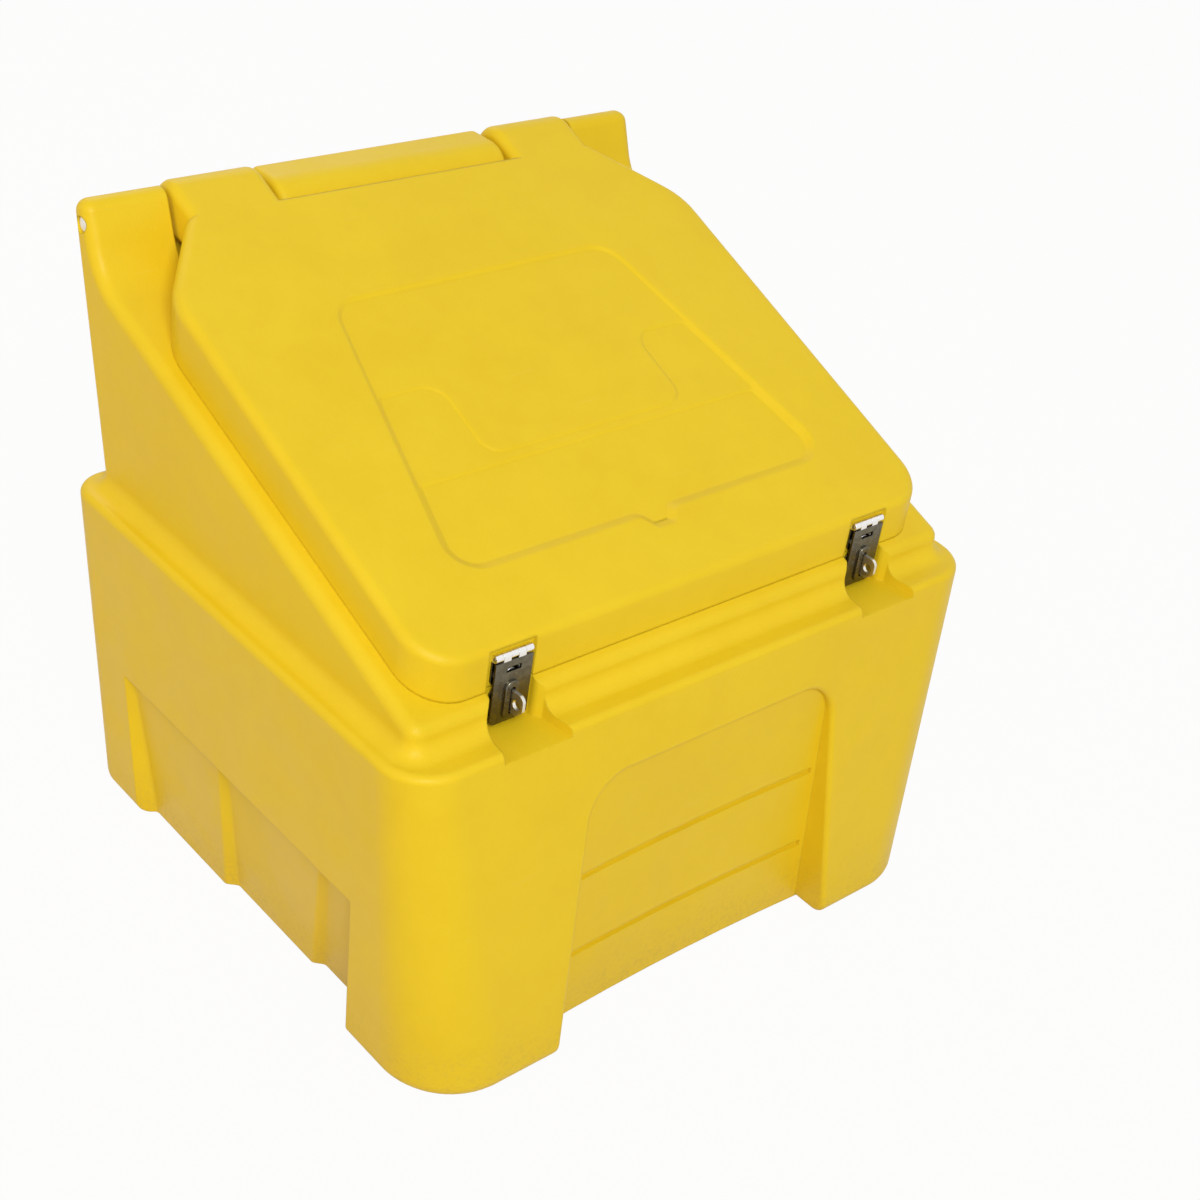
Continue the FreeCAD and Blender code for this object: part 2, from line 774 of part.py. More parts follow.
def hinge_leaf(front_y, length, first_knuckle):
    """Leaf with rolled knuckles, notched where the other leaf has its own."""
    leaf = leaf_blank(front_y, length)
    reach = knuckle_outer_radius + notch_gap
    notches = []
    for x0, x1 in knuckle_spans(1 - first_knuckle):
        notches.append(box(x0 - knuckle_gap, x1 + knuckle_gap, -far, far, pin_z - reach, far))
    leaf = leaf.cut(notches)
    rolls = [rod_along_x(x0, x1, pin_y, pin_z, knuckle_outer_radius) for x0, x1 in knuckle_spans(first_knuckle)]
    leaf = leaf.multiFuse(rolls)
    return leaf.cut(rod_along_x(0, far, pin_y, pin_z, pin_bore / 2))


def fixed_leaf():
    leaf = hinge_leaf(seat_y - sheet, fixed_leaf_length, 0)
    return leaf.cut([rod_along_y(hasp_x + x, leaf_bolt_z, -far, far, bolt_hole / 2) for x in leaf_bolt_offsets])


def oval(width, height, y, depth):
    """Upright oval block centred on the eye, growing forwards from y."""
    half = width / 2
    low = eye_z - height / 2
    high = eye_z + height / 2
    corners = [
        Vec(hasp_x - half, y, low),
        Vec(hasp_x + half, y, low),
        Vec(hasp_x + half, y, high),
        Vec(hasp_x - half, y, high),
    ]
    return prism(rounded_outline(corners, [half] * 4), Vec(0, -depth, 0))


def moving_leaf():
    front_y = pin_y - knuckle_outer_radius
    leaf = hinge_leaf(front_y, leaf_length, 1)
    collar = oval(collar_width, collar_height, front_y + sheet / 2, collar_rise + sheet / 2)
    outer_y = front_y - collar_rise
    collar = collar.makeFillet(collar_round, edges_where(collar, lambda b: b.YMax < outer_y + tiny))
    slot = oval(slot_width, slot_height, far, 2 * far)
    window_low = window_z - window_height / 2
    window_half = window_width / 2
    window = box(hasp_x - window_half, hasp_x + window_half, -far, far, window_low, window_low + window_height)
    return leaf.fuse(collar).cut([slot, window])


def hasp_pin():
    return rod_along_x(hasp_x - hasp_width / 2, hasp_x + hasp_width / 2, pin_y, pin_z, pin_diameter / 2)


def staple_plate():
    half = staple_plate_width / 2
    low = eye_z - eye_height / 2 - (staple_plate_height - eye_height)
    plate = box(hasp_x - half, hasp_x + half, seat_y - sheet, seat_y, low, low + staple_plate_height)
    corners = edges_where(plate, lambda b: b.YLength > sheet / 2)
    plate = plate.makeFillet(leaf_corner, corners)
    return plate.cut([rod_along_y(hasp_x + x, staple_bolt_z, -far, far, bolt_hole / 2) for x in staple_bolt_offsets])


def staple_eye():
    """Flat eye standing out from its plate, with a slanted lower corner that lets the leaf swing."""
    rear = seat_y - sheet
    front = rear - eye_reach
    low = eye_z - eye_height / 2
    high = eye_z + eye_height / 2
    points = [(rear, low), (front + eye_chamfer, low), (front, low + eye_chamfer), (front, high), (rear, high)]
    radii = [0.0, eye_round / 2, eye_round / 2, eye_round, 0.0]
    eye = side_prism(points, radii, hasp_x - eye_thickness / 2, hasp_x + eye_thickness / 2)
    return eye.cut(rod_along_x(0, far, rear - eye_hole_reach, eye_z, eye_hole / 2))


def bolts(offsets, z):
    """Domed bolts through plate and wall, one for each offset from the middle of the hasp."""
    face = seat_y - sheet
    stack = sheet + wall + washer_thickness + nut_height + bolt_tail
    solids = []
    for offset in offsets:
        x = hasp_x + offset
        head = rod_along_y(x, z, face - head_height, face, head_diameter / 2)
        head = head.makeFillet(head_height / 2, edges_where(head, lambda b: b.YMax < face - head_height + tiny))
        solids.append(head.fuse(rod_along_y(x, z, face, face + stack, bolt_diameter / 2)))
    return solids


def nuts(offsets, z, plastic):
    """Washer and hexagon nut behind the plastic wall, for each bolt."""
    solids = []
    inner = seat_y + plastic
    corner_radius = nut_flats / math.sqrt(3)
    for offset in offsets:
        x = hasp_x + offset
        washer = rod_along_y(x, z, inner, inner + washer_thickness, washer_diameter / 2)
        corners = []
        for i in range(6):
            turn = math.radians(60 * i)
            corner = Vec(math.cos(turn) * corner_radius, 0, math.sin(turn) * corner_radius)
            corners.append(corner + Vec(x, inner + washer_thickness, z))
        nut = prism(rounded_outline(corners, [0.0] * 6), Vec(0, nut_height, 0))
        bore = rod_along_y(x, z, 0, far, bolt_diameter / 2)
        solids += [washer.cut(bore), nut.cut(bore)]
    return solids


def save_pair(name, solids):
    """Write the right-hand solids and their mirror images as two nodes."""
    save(f"{name}_right", solids)
    save(f"{name}_left", [mirrored(solid) for solid in solids])


save("body_shell", [body_shell()])
save("lid_shell", [lid_shell()])
save("hinge_rod", [hinge_rod()])
save("rod_end_caps", with_mirror([rod_end_cap()]))
save_pair("hasp_fixed_leaf", [fixed_leaf()])
save_pair("hasp_moving_leaf", [moving_leaf()])
save_pair("hasp_pin", [hasp_pin()])
save_pair("leaf_bolts", bolts(leaf_bolt_offsets, leaf_bolt_z))
save_pair("leaf_nuts", nuts(leaf_bolt_offsets, leaf_bolt_z, lid_wall))
save_pair("staple_plate", [staple_plate()])
save_pair("staple_eye", [staple_eye()])
save_pair("staple_bolts", bolts(staple_bolt_offsets, staple_bolt_z))
save_pair("staple_nuts", nuts(staple_bolt_offsets, staple_bolt_z, wall))
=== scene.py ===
import json
import math

import bmesh
import bpy
from mathutils import Matrix, Vector


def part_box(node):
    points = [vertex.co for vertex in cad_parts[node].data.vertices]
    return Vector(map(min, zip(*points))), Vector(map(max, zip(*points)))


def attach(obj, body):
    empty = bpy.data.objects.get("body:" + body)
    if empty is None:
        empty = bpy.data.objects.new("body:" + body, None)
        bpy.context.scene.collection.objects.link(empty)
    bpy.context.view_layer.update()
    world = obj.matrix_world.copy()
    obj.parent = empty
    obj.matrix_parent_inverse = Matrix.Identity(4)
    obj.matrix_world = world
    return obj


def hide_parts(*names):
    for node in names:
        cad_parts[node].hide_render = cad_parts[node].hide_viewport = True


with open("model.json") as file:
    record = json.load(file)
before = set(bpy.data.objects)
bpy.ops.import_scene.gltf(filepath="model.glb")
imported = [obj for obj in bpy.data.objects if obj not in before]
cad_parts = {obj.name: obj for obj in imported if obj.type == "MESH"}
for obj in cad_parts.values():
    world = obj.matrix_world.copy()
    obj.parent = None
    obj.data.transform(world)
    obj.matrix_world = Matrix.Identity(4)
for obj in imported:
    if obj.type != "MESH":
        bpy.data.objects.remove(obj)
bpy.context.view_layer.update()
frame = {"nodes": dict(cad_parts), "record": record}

# Grit salt bin: the finishes of its pieces, the sunken panel of its lid, and a plain studio

# Colours, as the shader reads them (linear, 0 to 1)
YELLOW = (0.82, 0.600, 0.016)
YELLOW_DEEP = (0.79, 0.568, 0.012)
YELLOW_PALE = (0.84, 0.630, 0.022)
SCUFF_PALE = (0.86, 0.70, 0.16)
DUST_BROWN = (0.30, 0.235, 0.12)
ZINC = (0.58, 0.58, 0.58)
ZINC_BRIGHT = (0.86, 0.85, 0.83)
ZINC_SOFT = (0.74, 0.71, 0.64)
ZINC_DULL = (0.36, 0.36, 0.36)
# The hasp's sheet: painted shade, a zinc far darker than the other zinc parts, standing in for the dark
# reflections on its leaves
SHEET_LIGHT = (0.160, 0.146, 0.106)
SHEET_DARK = (0.116, 0.105, 0.076)
STEEL = (0.46, 0.46, 0.47)
FLOOR_GREY = (0.60, 0.50, 0.38)
FLOOR_DULL = (0.57, 0.47, 0.35)
BACKDROP_WHITE = (1.0, 1.0, 1.0)
SKY_LIGHT = (1.0, 0.91, 0.86)
PLAIN_LIGHT = (1.0, 1.0, 1.0)
WARM_LIGHT = (1.0, 0.74, 0.48)

# Relief and reach of the finishes, in metres
PEEL_HEIGHT = 0.00035
BODY_EDGE_ROUND = 0.0022
LID_EDGE_ROUND = 0.0036
DUST_REACH = 0.11
GRAIN_HEIGHT = 0.00006
METAL_EDGE_ROUND = 0.0006
# Width of the soft edge of the painted highlight on the hasp's knuckles
HIGHLIGHT_BAND = 0.001

# Pattern repeats per metre
PEEL_SCALE = 650.0
SHEET_SPANGLE = 260.0
ROD_SPANGLE = 180.0
CAP_SPANGLE = 200.0
SMALL_SPANGLE = 420.0

# Shares and roughnesses of the finishes, 0 to 1
PALE_PATCHES = 0.35
SATIN = 0.40
SATIN_DULLEST = 0.47
WORN_DULLNESS = 0.35
TARNISH_DULLNESS = 0.10

# Height above which the leaves' rolled edges get a painted highlight, a lighter zinc colour, in metres:
# just under the knuckles
PIN_LOW, PIN_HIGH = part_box("hasp_pin_left")
ROLLED_EDGE_REACH = 0.0042
ROLLED_EDGE_HIGHLIGHT_Z = (PIN_LOW.z + PIN_HIGH.z) / 2 - ROLLED_EDGE_REACH

# The lid's sloping top, in metres
LID_FRONT_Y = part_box("lid_shell")[0].y
LID_FRONT_Z = 0.431
LID_SLOPE = math.radians(21.5)
LID_WALL = 0.006

# The lid's sunken panel, in metres: distances up the slope from the lid's front edge, half widths
# from the middle plane, and radii of corners
PANEL_FRONT = 0.074
PANEL_REAR = 0.387
PANEL_FRONT_HALF = 0.231
PANEL_REAR_HALF = 0.167
PANEL_CORNER = 0.032
NOTCH_FRONT = 0.058
NOTCH_TIP_HALF = 0.012
NOTCH_TIP_CORNER = 0.0096
NOTCH_ROOT_HALF = 0.022
NOTCH_ROOT_CORNER = 0.010
STEP_FRONT = 0.175
STEP_REAR = 0.185
STEP_CORNER = 0.012
PAD_INNER = 0.118
PAD_REAR = 0.274
PAD_CORNER = 0.028
PAD_OUTER_CORNER = 0.014

# Depths of the panel's three levels below the lid's top, in metres
FIELD_DEPTH = 0.0024
PAD_DEPTH = 0.0038
FOOT_DEPTH = 0.0054

# Blocks that shape the lid: rise of their walls, then lengths in metres. The walls of two blocks
# are a few gaps apart, so that no two lie in the same plane.
WALL_SLOPE = 0.6
UPRIGHT = 1000.0
WALL_GAP = 0.00005
TRIM_DEPTH = 0.00002

# Faces that meet at more than this angle keep a sharp edge, and arcs have this many sides
SHARP_FROM = math.radians(24)
ARC_STEPS = 10

# Camera: its place and the point it looks at, in metres, its tilt in degrees, its lens in millimetres
CAMERA_AT = (-1.1456, -1.2290, 1.3580)
CAMERA_AIM = (0.0478, -0.0596, 0.2856)
CAMERA_ROLL = 9.0
FOCAL_LENGTH = 59.72
SENSOR_WIDTH = 36.0

# Studio: half the floor's width in metres, and strengths where 1 is white
FLOOR_HALF = 9.0
FLOOR_WHITENING = 0.96
SKY_STRENGTH = 0.50
BACKDROP_STRENGTH = 1.0


# Node helpers

def new_group(name, inputs, outputs):
    """Shader node group with its start and end nodes; each input gives name, type and default."""
    group = bpy.data.node_groups.new(name, "ShaderNodeTree")
    for label, kind, default in inputs:
        socket = group.interface.new_socket(label, in_out="INPUT", socket_type=kind)
        socket.default_value = default
    for label, kind in outputs:
        group.interface.new_socket(label, in_out="OUTPUT", socket_type=kind)
    start = group.nodes.new("NodeGroupInput")
    end = group.nodes.new("NodeGroupOutput")
    return group, start, end


def add(tree, kind, **settings):
    """New node in a tree."""
    node = tree.nodes.new(kind)
    for key, value in settings.items():
        setattr(node, key, value)
    return node


def feed(tree, socket, value):
    """Link a socket to another one, or set it to a number or a colour."""
    if isinstance(value, bpy.types.NodeSocket):
        tree.links.new(value, socket)
    elif isinstance(value, tuple):
        socket.default_value = (*value, 1.0)
    else:
        socket.default_value = value


def noise(tree, vector, scale, detail=4.0, roughness=0.55):
    """Cloudy pattern; its scale is in repeats per metre."""
    node = add(tree, "ShaderNodeTexNoise")
    feed(tree, node.inputs["Vector"], vector)
    feed(tree, node.inputs["Scale"], scale)
    feed(tree, node.inputs["Detail"], detail)
    feed(tree, node.inputs["Roughness"], roughness)
    return node.outputs["Fac"]


def remap(tree, value, low, high, to_low=0.0, to_high=1.0):
    """Soft step of a value from low to high."""
    node = add(tree, "ShaderNodeMapRange", interpolation_type="SMOOTHSTEP")
    feed(tree, node.inputs["Value"], value)
    feed(tree, node.inputs["From Min"], low)
    feed(tree, node.inputs["From Max"], high)
    feed(tree, node.inputs["To Min"], to_low)
    feed(tree, node.inputs["To Max"], to_high)
    return node.outputs["Result"]


def combine(tree, operation, first, second):
    """One step of arithmetic on two values, each a socket or a number."""
    node = add(tree, "ShaderNodeMath", operation=operation)
    feed(tree, node.inputs[0], first)
    feed(tree, node.inputs[1], second)
    return node.outputs[0]


def weighted_sum(tree, first, first_weight, second, second_weight):
    """Sum of two values, each times its own weight."""
    first_part = combine(tree, "MULTIPLY", first, first_weight)
    second_part = combine(tree, "MULTIPLY", second, second_weight)
    return combine(tree, "ADD", first_part, second_part)


def mix_colour(tree, share, first, second):
    """Blend from the first colour to the second, each a socket or plain numbers."""
    node = add(tree, "ShaderNodeMix", data_type="RGBA")
    feed(tree, node.inputs[0], share)
    feed(tree, node.inputs[6], first)
    feed(tree, node.inputs[7], second)
    return node.outputs[2]


def object_place(tree):
    """Place on the object, in metres."""
    return add(tree, "ShaderNodeTexCoord").outputs["Object"]


def height_above_ground(tree, place):
    """Height of a place on the object, in metres."""
    split = add(tree, "ShaderNodeSeparateXYZ")
    feed(tree, split.inputs["Vector"], place)
    return split.outputs["Z"]


def stretched(tree, vector, repeats):
    """Place in a pattern with its own number of repeats per metre along each axis."""
    node = add(tree, "ShaderNodeMapping")
    node.inputs["Scale"].default_value = repeats
    feed(tree, node.inputs["Vector"], vector)
    return node.outputs["Vector"]


# Shared effects

def make_moulded_skin():
    """Soft shade changes and the fine peel of rotomoulded plastic."""
    group, start, end = new_group(
        "moulded_skin",
        inputs=[("Vector", "NodeSocketVector", (0, 0, 0)), ("Peel Size", "NodeSocketFloat", 700.0)],
        outputs=[
            ("Shade", "NodeSocketFloat"),
            ("Sheen Patches", "NodeSocketFloat"),
            ("Peel", "NodeSocketFloat"),
        ],
    )
    place = start.outputs["Vector"]
    broad = noise(group, place, scale=5.0, detail=3.0)
    patchy = noise(group, place, scale=38.0, detail=5.0, roughness=0.6)
    shade = weighted_sum(group, broad, 0.65, patchy, 0.35)
    feed(group, end.inputs["Shade"], remap(group, shade, low=0.32, high=0.68))
    sheen = noise(group, place, scale=17.0, detail=4.0)
    feed(group, end.inputs["Sheen Patches"], remap(group, sheen, low=0.35, high=0.70))
    fine = noise(group, place, scale=start.outputs["Peel Size"], detail=2.0, roughness=0.5)
    wavy = noise(group, place, scale=11.0, detail=2.0)
    feed(group, end.inputs["Peel"], combine(group, "ADD", combine(group, "MULTIPLY", wavy, 6.0), fine))
    return group


def make_hairline_scuffs():
    """Thin pale scuffs that run mostly one way, in loose patches."""
    group, start, end = new_group(
        "hairline_scuffs",
        inputs=[("Vector", "NodeSocketVector", (0, 0, 0)), ("Amount", "NodeSocketFloat", 0.5)],
        outputs=[("Mask", "NodeSocketFloat")],
    )
    place = start.outputs["Vector"]
    along_place = stretched(group, place, (14.0, 320.0, 240.0))
    across_place = stretched(group, place, (260.0, 20.0, 300.0))
    lines = noise(group, along_place, scale=1.0, detail=3.0, roughness=0.5)
    across = noise(group, across_place, scale=1.0, detail=3.0, roughness=0.5)
    thin_lines = remap(group, lines, low=0.66, high=0.74)
    thin_across = remap(group, across, low=0.69, high=0.76)
    thin = combine(group, "MAXIMUM", thin_lines, thin_across)
    where = remap(group, noise(group, place, scale=7.0, detail=3.0), low=0.50, high=0.72)
    in_patches = combine(group, "MULTIPLY", thin, where)
    feed(group, end.inputs["Mask"], combine(group, "MULTIPLY", in_patches, start.outputs["Amount"]))
    return group


def make_road_dust():
    """Dust and splashes that thin out with height above the ground."""
    group, start, end = new_group(
        "road_dust",
        inputs=[
            ("Vector", "NodeSocketVector", (0, 0, 0)),
            ("Reach", "NodeSocketFloat", 0.10),
            ("Amount", "NodeSocketFloat", 0.5),
        ],
        outputs=[("Mask", "NodeSocketFloat")],
    )
    place = start.outputs["Vector"]
    ragged = combine(group, "MULTIPLY", noise(group, place, scale=26.0, detail=6.0, roughness=0.7), 0.09)
    height = combine(group, "ADD", height_above_ground(group, place), ragged)
    share = combine(group, "DIVIDE", height, start.outputs["Reach"])
    low_down = remap(group, share, low=0.25, high=1.25, to_low=1.0, to_high=0.0)
    specks = noise(group, place, scale=240.0, detail=2.0)
    specks = remap(group, specks, low=0.45, high=0.70, to_low=0.35, to_high=1.0)
    speckled = combine(group, "MULTIPLY", low_down, specks)
    feed(group, end.inputs["Mask"], combine(group, "MULTIPLY", speckled, start.outputs["Amount"]))
    return group


def make_zinc_skin():
    """Cloudy spangle and fine rolling lines of zinc-plated sheet."""
    group, start, end = new_group(
        "zinc_skin",
        inputs=[("Vector", "NodeSocketVector", (0, 0, 0)), ("Spangle Size", "NodeSocketFloat", 260.0)],
        outputs=[("Tarnish", "NodeSocketFloat"), ("Grain", "NodeSocketFloat")],
    )
    place = start.outputs["Vector"]
    cells = add(group, "ShaderNodeTexVoronoi")
    feed(group, cells.inputs["Vector"], place)
    feed(group, cells.inputs["Scale"], start.outputs["Spangle Size"])
    cell_shade = add(group, "ShaderNodeSeparateColor")
    feed(group, cell_shade.inputs["Color"], cells.outputs["Color"])
    cloud = noise(group, place, scale=90.0, detail=4.0)
    tarnish = weighted_sum(group, cell_shade.outputs[0], 0.35, cloud, 0.65)
    feed(group, end.inputs["Tarnish"], tarnish)
    rolling_lines = stretched(group, place, (2400.0, 2400.0, 130.0))
    feed(group, end.inputs["Grain"], noise(group, rolling_lines, scale=1.0, detail=3.0))
    return group


MOULDED_SKIN = make_moulded_skin()
HAIRLINE_SCUFFS = make_hairline_scuffs()
ROAD_DUST = make_road_dust()
ZINC_SKIN = make_zinc_skin()


def use_group(tree, group, vector, **values):
    """Outputs of a shared effect, placed in a tree with its own values."""
    node = add(tree, "ShaderNodeGroup")
    node.node_tree = group
    feed(tree, node.inputs["Vector"], vector)
    for label, value in values.items():
        feed(tree, node.inputs[label.replace("_", " ")], value)
    return node.outputs


def new_material(name):
    """New material with its node tree and its shader."""
    material = bpy.data.materials.new(name)
    material.use_nodes = True
    tree = material.node_tree
    return material, tree, tree.nodes["Principled BSDF"]


def bump(tree, shader, height, distance, strength, edge_round):
    """Fine relief on the shader's normal, over edges that look rounded by edge_round."""
    soft_edges = add(tree, "ShaderNodeBevel", samples=4)
    feed(tree, soft_edges.inputs["Radius"], edge_round)
    relief = add(tree, "ShaderNodeBump")
    feed(tree, relief.inputs["Distance"], distance)
    feed(tree, relief.inputs["Strength"], strength)
    feed(tree, relief.inputs["Height"], height)
    feed(tree, relief.inputs["Normal"], soft_edges.outputs["Normal"])
    feed(tree, shader.inputs["Normal"], relief.outputs["Normal"])


# Materials

def yellow_polyethylene(name, scuffs, dust, edge_round):
    """Satin yellow polyethylene, coloured right through."""
    material, tree, shader = new_material(name)
    place = object_place(tree)
    skin = use_group(tree, MOULDED_SKIN, place, Peel_Size=PEEL_SCALE)
    scuff = use_group(tree, HAIRLINE_SCUFFS, place, Amount=scuffs)["Mask"]
    dirt = use_group(tree, ROAD_DUST, place, Reach=DUST_REACH, Amount=dust)["Mask"]
    colour = mix_colour(tree, skin["Shade"], YELLOW_DEEP, YELLOW)
    pale = combine(tree, "MULTIPLY", skin["Sheen Patches"], PALE_PATCHES)
    colour = mix_colour(tree, pale, colour, YELLOW_PALE)
    colour = mix_colour(tree, scuff, colour, SCUFF_PALE)
    colour = mix_colour(tree, dirt, colour, DUST_BROWN)
    feed(tree, shader.inputs["Base Color"], colour)
    satin = remap(tree, skin["Sheen Patches"], low=0.0, high=1.0, to_low=SATIN, to_high=SATIN_DULLEST)
    worn = combine(tree, "MULTIPLY", combine(tree, "ADD", scuff, dirt), WORN_DULLNESS)
    feed(tree, shader.inputs["Roughness"], combine(tree, "ADD", satin, worn))
    shader.inputs["IOR"].default_value = 1.51
    shader.inputs["Specular IOR Level"].default_value = 0.22
    shader.inputs["Subsurface Weight"].default_value = 0.06
    shader.inputs["Subsurface Radius"].default_value = (0.012, 0.007, 0.002)
    shader.inputs["Subsurface Scale"].default_value = 1.0
    bump(tree, shader, skin["Peel"], distance=PEEL_HEIGHT, strength=0.55, edge_round=edge_round)
    return material


def zinc_plate(name, bright, dull, roughness, spangle, highlight_from=None):
    """Zinc-plated steel with a soft spangle, and a painted highlight, a lighter colour, above a height when
    one is given.
    """
    material, tree, shader = new_material(name)
    place = object_place(tree)
    skin = use_group(tree, ZINC_SKIN, place, Spangle_Size=spangle)
    colour = mix_colour(tree, remap(tree, skin["Tarnish"], low=0.25, high=0.75), bright, dull)
    if highlight_from is not None:
        height = height_above_ground(tree, place)
        # Painted highlight: above this height the knuckles are coloured lighter, in place of the highlights
        # they catch
        painted_highlight = remap(tree, height, low=highlight_from, high=highlight_from + HIGHLIGHT_BAND)
        colour = mix_colour(tree, painted_highlight, colour, ZINC_BRIGHT)
    feed(tree, shader.inputs["Base Color"], colour)
    dullest = roughness + TARNISH_DULLNESS
    gloss = remap(tree, skin["Tarnish"], low=0.2, high=0.8, to_low=roughness, to_high=dullest)
    feed(tree, shader.inputs["Roughness"], gloss)
    shader.inputs["Metallic"].default_value = 1.0
    bump(tree, shader, skin["Grain"], distance=GRAIN_HEIGHT, strength=0.4, edge_round=METAL_EDGE_ROUND)
    return material


# Every finish by its slot in the record, and a lighter copy of the hasp's zinc for the staples' eyes: the
# eyes' lighter colour is a painted highlight, the leaves' dark sheet painted shade
FINISHES = {
    "body_yellow": yellow_polyethylene("body_yellow", scuffs=0.28, dust=0.22, edge_round=BODY_EDGE_ROUND),
    "lid_yellow": yellow_polyethylene("lid_yellow", scuffs=0.22, dust=0.0, edge_round=LID_EDGE_ROUND),
    "rod_steel": zinc_plate("rod_steel", STEEL, ZINC_DULL, roughness=0.34, spangle=ROD_SPANGLE),
    "cap_steel": zinc_plate("cap_steel", ZINC_BRIGHT, ZINC_SOFT, roughness=0.46, spangle=CAP_SPANGLE),
    # The hasp's leaves: their dark sheet colours are painted shade for dark reflections
    "hasp_zinc": zinc_plate(
        "hasp_zinc", SHEET_LIGHT, SHEET_DARK,
        # Painted highlight: the knuckles are coloured lighter above this height
        roughness=0.24, spangle=SHEET_SPANGLE, highlight_from=ROLLED_EDGE_HIGHLIGHT_Z,
    ),
    "fastener_zinc": zinc_plate("fastener_zinc", ZINC, ZINC_DULL, roughness=0.32, spangle=SMALL_SPANGLE),
    # Painted highlight: the staples' eyes get a lighter copy of the hasp's zinc
    "staple_zinc_painted_highlight": zinc_plate("staple_zinc_painted_highlight", ZINC_BRIGHT, ZINC_SOFT, roughness=0.26, spangle=SMALL_SPANGLE),
}


def finish_of(row):
    """Finish of one CAD node: its slot's, but the staples' eyes take a lighter zinc colour as a painted
    highlight.
    """
    if row["node"].startswith("staple_eye"):
        return FINISHES["staple_zinc_painted_highlight"]
    return FINISHES[row["material_slot"]]


def finish_nodes():
    """Give every CAD node its finish."""
    for row in frame["record"]["subparts"]:
        materials = frame["nodes"][row["node"]].data.materials
        for i in range(len(materials)):
            materials[i] = finish_of(row)
        if len(materials) == 0:
            materials.append(finish_of(row))


# Outlines of the lid's panel: a corner is (distance from the middle, distance up the slope, radius)

def panel_half(up):
    """Half the panel's width at a distance up the slope."""
    share = (up - PANEL_FRONT) / (PANEL_REAR - PANEL_FRONT)
    return PANEL_FRONT_HALF + (PANEL_REAR_HALF - PANEL_FRONT_HALF) * share


def with_mirror(corners):
    """Whole outline from its right half, whose corners run from the front to the rear."""
    return corners + [(-x, up, radius) for x, up, radius in reversed(corners)]


def notched_front():
    """Right half of the panel's front edge, with the notch in its middle."""
    return [
        (NOTCH_TIP_HALF, NOTCH_FRONT, NOTCH_TIP_CORNER),
        (NOTCH_ROOT_HALF, PANEL_FRONT, NOTCH_ROOT_CORNER),
        (PANEL_FRONT_HALF, PANEL_FRONT, PANEL_CORNER),
    ]


def whole_panel():
    return with_mirror(notched_front() + [(PANEL_REAR_HALF, PANEL_REAR, PANEL_CORNER)])


def panel_with_rim():
    """The panel without its notch, one wall larger all round."""
    corner = PANEL_CORNER + LID_WALL
    return with_mirror([
        (PANEL_FRONT_HALF + LID_WALL, PANEL_FRONT - LID_WALL, corner),
        (PANEL_REAR_HALF + LID_WALL, PANEL_REAR + LID_WALL, corner),
    ])


def pads_and_step():
    """The two pads and the narrow step that joins them, drawn on into the foot of the panel."""
    reach = FIELD_DEPTH / WALL_SLOPE
    low = (PANEL_FRONT + STEP_FRONT) / 2
    inner = PAD_INNER - reach
    rear = PAD_REAR + reach
    return with_mirror([
        (panel_half(low), low, 0.0),
        (panel_half(rear), rear, PAD_OUTER_CORNER),
        (inner, rear, PAD_CORNER),
        (inner, STEP_REAR + reach, PAD_OUTER_CORNER),
    ])


def foot_of_panel():
    """The lowest strip of the panel, below the pads and the step."""
    up = STEP_FRONT + PAD_DEPTH / WALL_SLOPE
    return with_mirror(notched_front() + [(panel_half(up), up, STEP_CORNER)])


# Blocks that shape the lid

def turn_between(before, after):
    """Angle from one direction to the next, positive to the left."""
    return math.atan2(before.x * after.y - before.y * after.x, before.dot(after))


def arc(middle, radius, start, turn):
    """Points along an arc that begins at the angle start."""
    points = []
    for k in range(ARC_STEPS + 1):
        angle = start + turn * k / ARC_STEPS
        points.append(middle + Vector((math.cos(angle), math.sin(angle))) * radius)
    return points


def rounded(corners, grow):
    """Points along an outline with its straight sides moved outwards and its corners rounded."""
    places = [Vector((x, up)) for x, up, radius in corners]
    points = []
    for i, corner in enumerate(places):
        before = (corner - places[i - 1]).normalized()
        after = (places[(i + 1) % len(places)] - corner).normalized()
        turn = turn_between(before, after)
        outwards = (Vector((before.y, -before.x)) + Vector((after.y, -after.x))).normalized()
        moved = corner + outwards * (grow / math.cos(turn / 2))
        side = 1.0 if turn > 0 else -1.0
        radius = corners[i][2] + grow * side if corners[i][2] > 0 else 0.0
        if radius <= 0:
            points.append(moved)
            continue
        middle = moved - outwards * (side * radius / math.cos(turn / 2))
        start = math.atan2(before.y, before.x) - side * math.pi / 2
        points.extend(arc(middle, radius, start, turn))
    return points


def on_slope(x, up, height):
    """Place of a point above the lid's sloping top."""
    y = up * math.cos(LID_SLOPE) - height * math.sin(LID_SLOPE)
    z = up * math.sin(LID_SLOPE) + height * math.cos(LID_SLOPE)
    return Vector((x, LID_FRONT_Y + y, LID_FRONT_Z + z))


def show(name, data):
    """Object in the scene for a mesh, a lamp or a camera."""
    shown = bpy.data.objects.new(name, data)
    bpy.context.scene.collection.objects.link(shown)
    return shown


